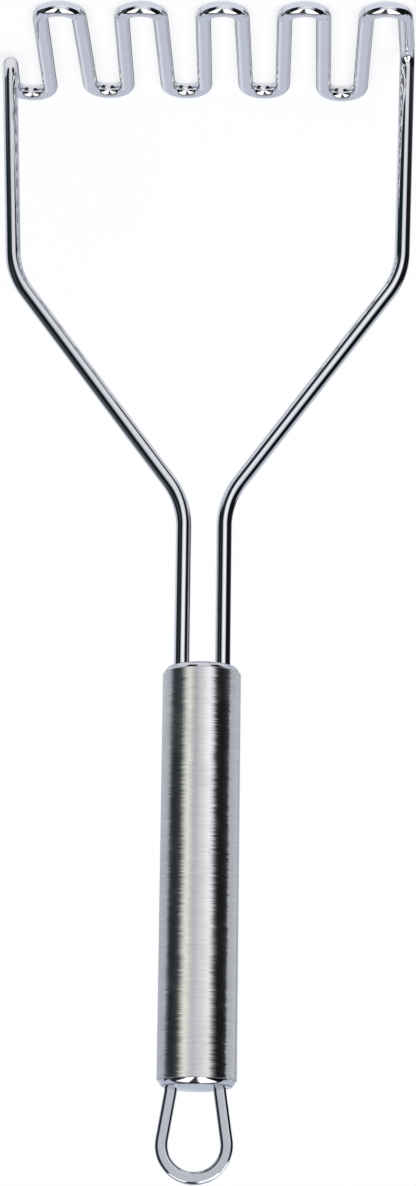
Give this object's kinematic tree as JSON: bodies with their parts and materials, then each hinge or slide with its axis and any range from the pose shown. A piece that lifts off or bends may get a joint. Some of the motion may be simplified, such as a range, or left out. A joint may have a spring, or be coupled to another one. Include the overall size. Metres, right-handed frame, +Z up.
{
  "type": "potato masher",
  "caption": "Wire potato masher: a bent wire makes the comb and frame, welded into a round brushed steel handle with a hanging loop.",
  "frame": {"origin": "under the handle's axis, on the surface that the masher stands on, in the middle of its head", "axes": "+Z up the handle from the head to the hanging loop; X is the width of the head, Y its depth"},
  "size_m": [0.1117, 0.0599, 0.3026],
  "materials": {
    "polished_wire": "bright polished stainless steel wire",
    "brushed_tube": "fine brushing round the tube",
    "polished_caps": "polished stainless steel",
    "polished_strip": "polished stainless steel with faint drawing lines",
    "weld_metal": "as welded"
  },
  "bodies": {
    "root": {"masher_wire": "polished_wire", "handle_tube": "brushed_tube", "front_cap": "polished_caps", "rear_cap": "polished_caps", "hanging_loop": "polished_strip", "wire_welds": "weld_metal", "loop_welds": "weld_metal"}
  },
  "joints": []
}
